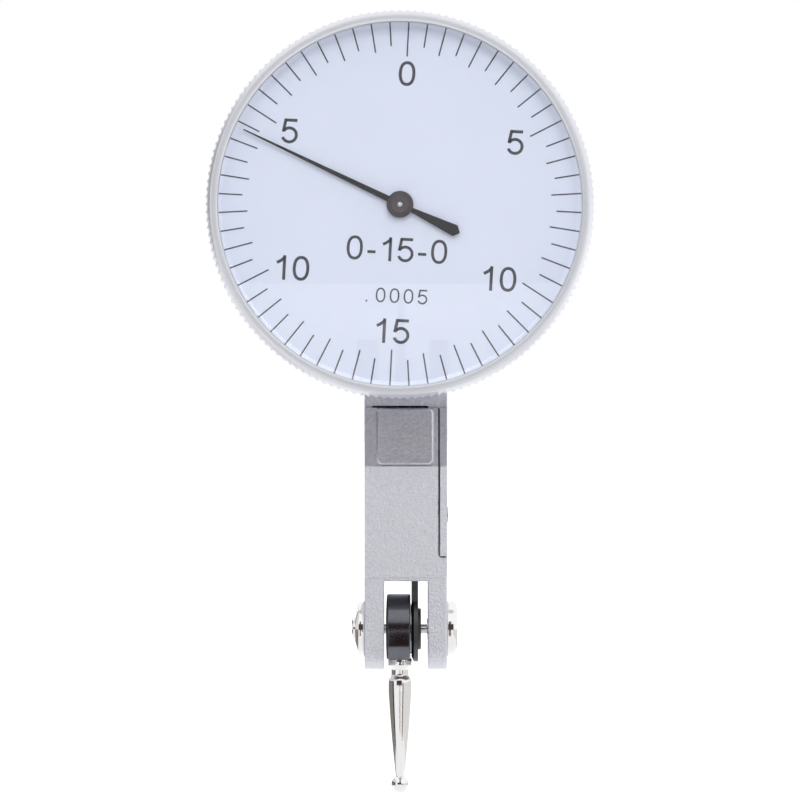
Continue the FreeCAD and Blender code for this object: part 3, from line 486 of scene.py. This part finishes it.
def place(piece, body, slot, look, *replaced):
    """Finish a piece: its material, the body it moves with and the nodes it stands for."""
    piece.data.materials.clear()
    piece.data.materials.append(look)
    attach(piece, body)
    if replaced:
        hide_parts(*replaced)
    return piece


# --- bezel, window and dial ---

def flute(depth):
    """Rounded hollows between narrow crests round the rim."""
    return lambda angle: depth * abs(math.sin(FLUTES * angle / 2))


def make_bezel():
    """Bezel ring: fluted rim, sloped flank, flat face and a thin lip over the window."""
    profile = [
        (19.5, BEZEL_BACK), (19.85, BEZEL_BACK - 0.1), (19.98, BEZEL_BACK - 0.4),
        (19.98, BEZEL_FRONT + 2.25), (19.94, BEZEL_FRONT + 2.05), (19.80, BEZEL_FRONT + 1.4),
        (19.55, BEZEL_FRONT + 0.22), (19.47, BEZEL_FRONT + 0.05), (19.38, BEZEL_FRONT),
        (18.76, BEZEL_FRONT), (18.68, BEZEL_FRONT + 0.04), (18.62, BEZEL_FRONT + 0.14),
        (LIP_R, BEZEL_FRONT + 0.25), (LIP_R, CRYSTAL_BACK - 0.64), (18.9, CRYSTAL_BACK - 0.64),
        (18.9, CRYSTAL_BACK), (LIP_R, CRYSTAL_BACK), (LIP_R, DIAL_FRONT - 0.01),
        (18.98, DIAL_FRONT - 0.01), (18.98, BEZEL_BACK - 0.85), (19.18, BEZEL_BACK - 0.85),
        (19.18, BEZEL_BACK - 0.25), (18.98, BEZEL_BACK - 0.25), (18.98, BEZEL_BACK),
    ]
    wobbles = {1: flute(0.05), 2: flute(0.19), 3: flute(0.19), 4: flute(0.15), 5: flute(0.05)}
    bm = lathe(profile, "Y", segments=FLUTES * 8, closed=True, wobbles=wobbles)
    return place(new_piece("bezel_fluted_ring", bm, 40), "bezel", "bezel_metal", BEZEL, "bezel_ring")


def make_window():
    """Clear window with a bevelled rim."""
    flange = CRYSTAL_BACK - 0.6
    profile = [
        (0.0, CRYSTAL_BACK - 0.02), (18.86, CRYSTAL_BACK - 0.02), (18.86, flange), (18.56, flange),
        (18.56, BEZEL_FRONT + 0.33), (18.5, BEZEL_FRONT + 0.29), (18.22, BEZEL_FRONT + 0.17),
        (18.14, BEZEL_FRONT + 0.15), (0.0, BEZEL_FRONT + 0.15),
    ]
    bm = lathe(profile, "Y", segments=192)
    return place(new_piece("crystal_window", bm), "bezel", "clear_crystal", WINDOW, "crystal")


def make_dial():
    """Enamelled dial with a slightly rolled edge and a hole for the arbor."""
    profile = [
        (0.9, DIAL_FRONT + 0.38), (18.93, DIAL_FRONT + 0.38), (18.93, DIAL_FRONT + 0.03),
        (18.9, DIAL_FRONT),
        (0.93, DIAL_FRONT), (0.9, DIAL_FRONT + 0.03),
    ]
    bm = lathe(profile, "Y", segments=192, closed=True)
    return place(new_piece("dial_face", bm), "bezel", "dial_white", ENAMEL, "dial_plate")


PRINT_TURN = math.radians(3.0)      # the bezel stands turned a little to the right
PRINT_SHIFT = (-0.06, 0.16)
PRINT_HEIGHT = 0.006                # of the ink over the enamel
DIVISIONS = 60
DIVISION_WIDTH = 0.15
DIVISION_OUTER = 18.74
TENTH_INNER, EVEN_INNER, ODD_INNER = 14.93, 15.48, 16.0
NUMERAL = 2.5                       # height of the scale's numbers


def on_dial(u, v):
    """Place on the dial of a point of the print, u to the right and v up before the turn."""
    x = u * math.cos(PRINT_TURN) + v * math.sin(PRINT_TURN) + PRINT_SHIFT[0]
    z = -u * math.sin(PRINT_TURN) + v * math.cos(PRINT_TURN) + PRINT_SHIFT[1]
    return (x, DIAL_FRONT - PRINT_HEIGHT, z)


def ribbon(bm, points, width, closed=False):
    """A flat printed stroke along (u, v) points."""
    count = len(points)
    left, right = [], []
    for i, point in enumerate(points):
        before = points[i - 1] if i > 0 or closed else point
        after = points[(i + 1) % count] if i < count - 1 or closed else point
        direction = Vector((after[0] - before[0], after[1] - before[1])).normalized()
        side = Vector((-direction.y, direction.x)) * width / 2
        left.append(bm.verts.new(on_dial(point[0] + side.x, point[1] + side.y)))
        right.append(bm.verts.new(on_dial(point[0] - side.x, point[1] - side.y)))
    for i in range(count if closed else count - 1):
        j = (i + 1) % count
        bm.faces.new((left[i], left[j], right[j], right[i]))


def arc(cx, cy, rx, ry, start, end, steps, power=2.0):
    """Points of a (super)ellipse arc; angles in degrees."""
    points = []
    for step in range(steps + 1):
        angle = math.radians(start + (end - start) * step / steps)
        c, s = math.cos(angle), math.sin(angle)
        x = math.copysign(abs(c) ** (2 / power), c)
        y = math.copysign(abs(s) ** (2 / power), s)
        points.append((cx + rx * x, cy + ry * y))
    return points


def numeral_strokes(character):
    """Centre lines of a numeral in units of its height, from its middle: (points, closed)."""
    if character == "0":
        return [(arc(0.0, 0.5, 0.275, 0.442, 0, 354, 59, 2.3), True)]
    if character == "1":
        flag = [(0.10, 0.95), (-0.02, 0.82), (-0.16, 0.73), (-0.24, 0.69)]
        return [([(0.07, 0.0), (0.07, 1.0)], False), (flag, False)]
    if character == "5":
        bowl = arc(0.0, 0.34, 0.285, 0.285, 146, -160, 36)
        top, stem = [(-0.2, 0.942), (0.30, 0.942)], [(-0.165, 0.99), (-0.255, 0.46)]
        return [(top, False), (stem, False), (bowl, False)]
    if character == "-":
        return [([(-0.17, 0.36), (0.17, 0.36)], False)]
    return [([(0.0, 0.0), (0.0, 0.13)], False)]


def print_number(bm, text, centre, height, pitch, weight=0.125):
    """A number printed upright on the dial, its characters a fixed pitch apart."""
    start = -(len(text) - 1) / 2
    for position, character in enumerate(text):
        middle = centre[0] + (start + position) * pitch
        for points, closed in numeral_strokes(character):
            moved = [(middle + x * height, centre[1] + (y - 0.5) * height) for x, y in points]
            ribbon(bm, moved, weight * height, closed)


def make_print():
    """Sixty divisions and the numbers, printed on the dial."""
    bm = bmesh.new()
    for number in range(DIVISIONS):
        angle = 2 * math.pi * number / DIVISIONS
        inner = TENTH_INNER if number % 10 == 0 else EVEN_INNER if number % 2 == 0 else ODD_INNER
        ends = [(r * math.sin(angle), r * math.cos(angle)) for r in (inner, DIVISION_OUTER)]
        ribbon(bm, ends, DIVISION_WIDTH)
    for text, centre in (("0", (0.09, 13.2)), ("5", (11.45, 6.77)), ("5", (-11.55, 6.74)),
                         ("10", (10.5, -7.18)), ("10", (-10.6, -7.16)), ("15", (-0.1, -13.05))):
        print_number(bm, text, centre, NUMERAL, 0.757 * NUMERAL)
    print_number(bm, "0-15-0", (0.0, -4.75), 2.45, 1.72, 0.12)
    print_number(bm, ".0005", (0.0, -9.44), 1.5, 1.42, 0.11)
    piece = new_piece("dial_print", bm)
    return place(piece, "bezel", "hand_black", INK)


# --- hand ---

def make_hand():
    """Pointer with a tapered blade, a round eye and a counterweight tail."""
    half = [(0.065, 17.7), (0.31, 1.2), (0.62, 0.85), (0.86, 0.3), (0.86, -0.3), (0.62, -0.85),
            (0.24, -1.25), (0.6, -6.15), (0.57, -6.27), (0.06, -6.72)]
    outline = half + [(-x, z) for x, z in reversed(half)]
    c, s = math.cos(math.radians(HAND_ANGLE)), math.sin(math.radians(HAND_ANGLE))
    turned = [(x * c + z * s, -x * s + z * c) for x, z in outline]
    bm = flat_plate(turned, HAND_BACK, HAND_BACK - 0.14)
    piece = softened(new_piece("pointer_hand", bm), 0.03)
    return place(piece, "hand", "hand_black", HAND, "hand")


def make_boss():
    """Bevelled boss that holds the hand, with a fine bright rim and a turned flat top."""
    back = HAND_BACK - 0.15
    profile = rounded([
        (0.3, back), (1.34, back), (1.38, back - 0.1), (1.3, back - 0.28), (0.86, back - 0.5),
        (0.8, back - 0.49), (0.3, back - 0.47),
    ], 0.03)
    bm = lathe(profile, "Y", segments=72)
    return place(new_piece("hand_cap", bm), "hand", "boss_bronze", BOSS, "hand_boss")


# --- bearing screws ---

def make_left_screw():
    """Bright bearing screw on the left ear: rimmed flange, bevel and a slotted boss."""
    face = HOUSING_LEFT
    profile = rounded([
        (0.0, face - 1.34), (1.0, face - 1.34), (1.15, face - 1.2), (1.15, face - 1.0),
        (1.9, face - 1.0), (2.83, face - 0.66), (2.85, face - 0.56), (2.85, face - 0.02),
        (1.6, face - 0.02), (1.6, EAR_LEFT_IN + 0.01), (1.0, EAR_LEFT_IN + 0.01),
        (0.0, EAR_LEFT_IN + 0.01),
    ], 0.05)
    screw = new_piece("left_bearing_head", lathe(profile, "X", (MID_Y, SPINDLE_Z), 128))
    slot = block("slot", (face - 2.0, face - 1.0), (MID_Y - 0.22, MID_Y + 0.22),
                 (SPINDLE_Z - 2, SPINDLE_Z + 2))
    return place(cut_with(screw, slot), "housing", "bright_chrome", CHROME, "bearing_screw_left")


def make_right_screw():
    """Bright bearing screw on the right ear: domed head with a wide slot."""
    face = HOUSING_RIGHT
    profile = rounded([
        (0.0, EAR_RIGHT_IN - NOSE), (1.15, EAR_RIGHT_IN - NOSE), (1.15, EAR_RIGHT_IN),
        (1.6, EAR_RIGHT_IN),
        (1.6, face + 0.02), (2.88, face + 0.02), (2.9, face + 0.1), (2.9, face + 0.72),
        (2.75, face + 0.92), (2.35, face + 1.08), (1.7, face + 1.17), (0.0, face + 1.2),
    ], 0.06)
    screw = new_piece("right_bearing_head", lathe(profile, "X", (MID_Y, SPINDLE_Z), 128))
    slot = block("slot", (face + 0.75, face + 2.0), (MID_Y - 0.3, MID_Y + 0.3),
                 (SPINDLE_Z - 4, SPINDLE_Z + 4))
    return place(cut_with(screw, slot), "housing", "bright_chrome", CHROME, "bearing_screw_right")


# --- stylus ---

def make_stem():
    """Polished stylus: collar against the drum's flat, neck and a taper that swells a little."""
    top, end = SPINDLE_Z - DRUM_FLAT, BALL_Z + 0.7
    shank_r, tip_r, swell = 1.22, 0.42, 0.07
    shoulder = rounded([
        (0.45, top + 0.6), (0.45, top), (1.14, top), (1.24, top - 0.1), (1.24, top - 0.76),
        (0.92, top - 1.15), (0.91, top - 1.8), (1.2, top - 2.24), (shank_r, top - 2.75),
        (shank_r, top - 3.4),
    ], 0.12, 4)
    start = top - 3.5
    taper = []
    for step in range(41):
        t = step / 40
        radius = shank_r + (tip_r - shank_r) * t + swell * math.sin(math.pi * t)
        taper.append((radius, start + (end - start) * t))
    profile = [(0.0, top + 0.6)] + shoulder + taper + [(0.43, BALL_Z + 0.62), (0.0, BALL_Z + 0.6)]
    bm = lathe(profile, "Z", (0.0, MID_Y), 96)
    return place(new_piece("stylus_shaft", bm), "stylus", "bright_chrome", CHROME, "stylus_stem")


def make_ball():
    """Hard contact ball."""
    angles = [math.pi * step / 48 for step in range(1, 48)]
    round_part = [(BALL_R * math.sin(angle), BALL_Z + BALL_R * math.cos(angle)) for angle in angles]
    profile = [(0.0, BALL_Z + BALL_R)] + round_part + [(0.0, BALL_Z - BALL_R)]
    bm = lathe(profile, "Z", (0.0, MID_Y), 96)
    return place(new_piece("contact_tip", bm), "stylus", "bright_chrome", CHROME, "contact_ball")


# --- studio ---

WORLD_LEVEL = 0.62          # the surround as matt surfaces see it; elsewhere it is 1
FLOOR_Z = -75.0
FLOOR_REACH = 6000.0
FLOOR_GLOW = 0.7
CARD_FOOT = FLOOR_Z + 1
BENT_TOP = -46.0
CARD_TONES = {
    "dim": (0.055, 0.046, 0.042), "dark": (0.02, 0.018, 0.018), "brown": (0.075, 0.045, 0.04),
    "grey": (0.22, 0.21, 0.20), "light": (0.74, 0.72, 0.71),
}
# name, tone, the (x, y) of both sides, foot, top
FLAT_CARDS = [
    ("front_panel", "dim", (-520, -760), (260, -760), CARD_FOOT, 265),
    ("screw_card_left", "light", (-40, -50), (-40, 40), -46, -28),
    ("left_flag", "dark", (-300, -134), (-300, 450), CARD_FOOT, 200),
    ("screw_flag_left", "brown", (-6.4, -46), (-3.2, -46), -64, -19),
    ("screw_flag_right", "brown", (4.4, -46), (7.2, -46), -64, -19),
]
# name, tone, bearings in degrees from the camera's side, distance from the stylus
BENT_CARDS = [
    ("stylus_line_left", "dark", -62, -76, 75),
    ("stylus_card_left", "grey", -76, -150, 75),
    ("stylus_line_right", "brown", 24, 34, 75),
    ("stylus_card_right", "light", 34, 150, 80),
]
# near and far ends along Y, both sides and the level of the shelf that the drum mirrors
SHELF_Y, SHELF_X, SHELF_Z = (-11.5, -400), (-1.5, 2.25), -48.5


def stage_sheet(name, corners, look):
    """A flat stage piece through four corners given in millimetres."""
    bm = bmesh.new()
    bm.faces.new([bm.verts.new(corner) for corner in corners])
    sheet = new_piece(name, bm)
    sheet.data.materials.append(look)
    return sheet


def floor_look():
    """Pale floor, white to the eye and a little brighter behind the object in reflections."""
    finish = Finish("floor_pale", (0.80, 0.80, 0.81), 0.0, 0.9)
    path = finish.tree.nodes.new("ShaderNodeLightPath")
    glow = finish.tree.nodes.new("ShaderNodeEmission")
    glossy, through = path.outputs["Is Glossy Ray"], path.outputs["Is Transmission Ray"]
    reflected = finish.math("MAXIMUM", glossy, through)
    behind = finish.spread(finish.axis("Y"), -20 * MM, 60 * MM, 0.5, 1.0)
    mirrored = finish.math("MULTIPLY", reflected, behind)
    seen = finish.math("MAXIMUM", path.outputs["Is Camera Ray"], mirrored)
    finish.link(finish.math("MULTIPLY", seen, FLOOR_GLOW), glow.inputs["Strength"])
    both = finish.tree.nodes.new("ShaderNodeAddShader")
    finish.link(finish.shader.outputs[0], both.inputs[0])
    finish.link(glow.outputs[0], both.inputs[1])
    finish.link(both.outputs[0], finish.output.inputs["Surface"])
    return finish.material


def card_look(tone):
    """A card that polished metal reflects at an even tone."""
    finish = Finish("card_" + tone, (0.0, 0.0, 0.0), 0.0, 1.0)
    finish.set("Specular IOR Level", 0.0)
    finish.set("Emission Color", (*CARD_TONES[tone], 1.0))
    finish.set("Emission Strength", 1.0)
    return finish.material


def bent_sheet(name, start, end, distance, look):
    """A curved upright stage card round the stylus, between two bearings."""
    bm = bmesh.new()
    steps = 12
    lines = []
    for step in range(steps + 1):
        bearing = math.radians(start + (end - start) * step / steps)
        x = distance * math.sin(bearing)
        y = MID_Y - distance * math.cos(bearing)
        lines.append((bm.verts.new((x, y, CARD_FOOT)), bm.verts.new((x, y, BENT_TOP))))
    for first, second in zip(lines, lines[1:]):
        bm.faces.new((first[0], second[0], second[1], first[1]))
    sheet = new_piece(name, bm)
    sheet.data.materials.append(look)
    return sheet


def level_sheet(name, x_range, y_range, z, look):
    """A level stage sheet."""
    (left, right), (near, far) = x_range, y_range
    return stage_sheet(name, [(left, near, z), (right, near, z), (right, far, z), (left, far, z)], look)


def make_stage():
    """Floor, and the cards of a light tent that only polished surfaces show."""
    sides = (-FLOOR_REACH, FLOOR_REACH)
    level_sheet("studio_floor", sides, sides, FLOOR_Z, floor_look())
    looks = {tone: card_look(tone) for tone in CARD_TONES}
    cards = []
    for name, tone, start, end, foot, top in FLAT_CARDS:
        corners = [(*start, foot), (*end, foot), (*end, top), (*start, top)]
        cards.append(stage_sheet(name, corners, looks[tone]))
    for name, tone, start, end, distance in BENT_CARDS:
        cards.append(bent_sheet(name, start, end, distance, looks[tone]))
    cards.append(level_sheet("drum_shelf", SHELF_X, SHELF_Y, SHELF_Z, looks["brown"]))
    for card in cards:
        card.visible_camera = False
        card.visible_diffuse = False
        card.visible_shadow = False
        card.visible_transmission = False


def make_world():
    """Even surround: white where the camera sees it and in reflections, softer on matt surfaces."""
    world = bpy.data.worlds.new("studio")
    bpy.context.scene.world = world
    world.use_nodes = True
    tree = world.node_tree
    tree.nodes.clear()
    path = tree.nodes.new("ShaderNodeLightPath")
    level = tree.nodes.new("ShaderNodeMapRange")
    level.inputs["To Min"].default_value = 1.0
    level.inputs["To Max"].default_value = WORLD_LEVEL
    tree.links.new(path.outputs["Is Diffuse Ray"], level.inputs["Value"])
    background = tree.nodes.new("ShaderNodeBackground")
    background.inputs["Color"].default_value = (1.0, 1.0, 1.0, 1.0)
    tree.links.new(level.outputs["Result"], background.inputs["Strength"])
    output = tree.nodes.new("ShaderNodeOutputWorld")
    tree.links.new(background.outputs[0], output.inputs["Surface"])


LAMP_PLACE = Vector((0.04, -0.62, 0.21))     # metres, as the camera's
LAMP_AIM = Vector((0.0, -0.01, -0.02))
LAMP_SIZE = 0.27
LAMP_POWER = 0.78
CAMERA_PLACE = (0.0, -0.5357, -0.02004)
LENS = 228.3


def make_lamp():
    """Square soft lamp from above the camera, left out of reflections."""
    data = bpy.data.lights.new("key_lamp", "AREA")
    data.shape = "SQUARE"
    data.size = LAMP_SIZE
    data.energy = LAMP_POWER
    lamp = bpy.data.objects.new("key_lamp", data)
    bpy.context.scene.collection.objects.link(lamp)
    lamp.location = LAMP_PLACE
    lamp.visible_glossy = False
    lamp.rotation_mode = "QUATERNION"
    lamp.rotation_quaternion = (LAMP_AIM - LAMP_PLACE).to_track_quat("-Z", "Y")


def make_camera():
    """Long lens straight in front, level with the body's upper part."""
    data = bpy.data.cameras.new("camera")
    data.sensor_width = 36.0
    data.lens = LENS
    data.clip_start = 0.01
    data.clip_end = 20.0
    camera = bpy.data.objects.new("camera", data)
    bpy.context.scene.collection.objects.link(camera)
    camera.location = CAMERA_PLACE
    camera.rotation_euler = (math.radians(90), 0.0, 0.0)
    bpy.context.scene.camera = camera


dress_nodes()
make_bezel()
make_window()
make_dial()
make_print()
make_hand()
make_boss()
make_left_screw()
make_right_screw()
make_stem()
make_ball()
make_stage()
make_world()
make_lamp()
make_camera()
bpy.context.scene.view_settings.view_transform = "Standard"
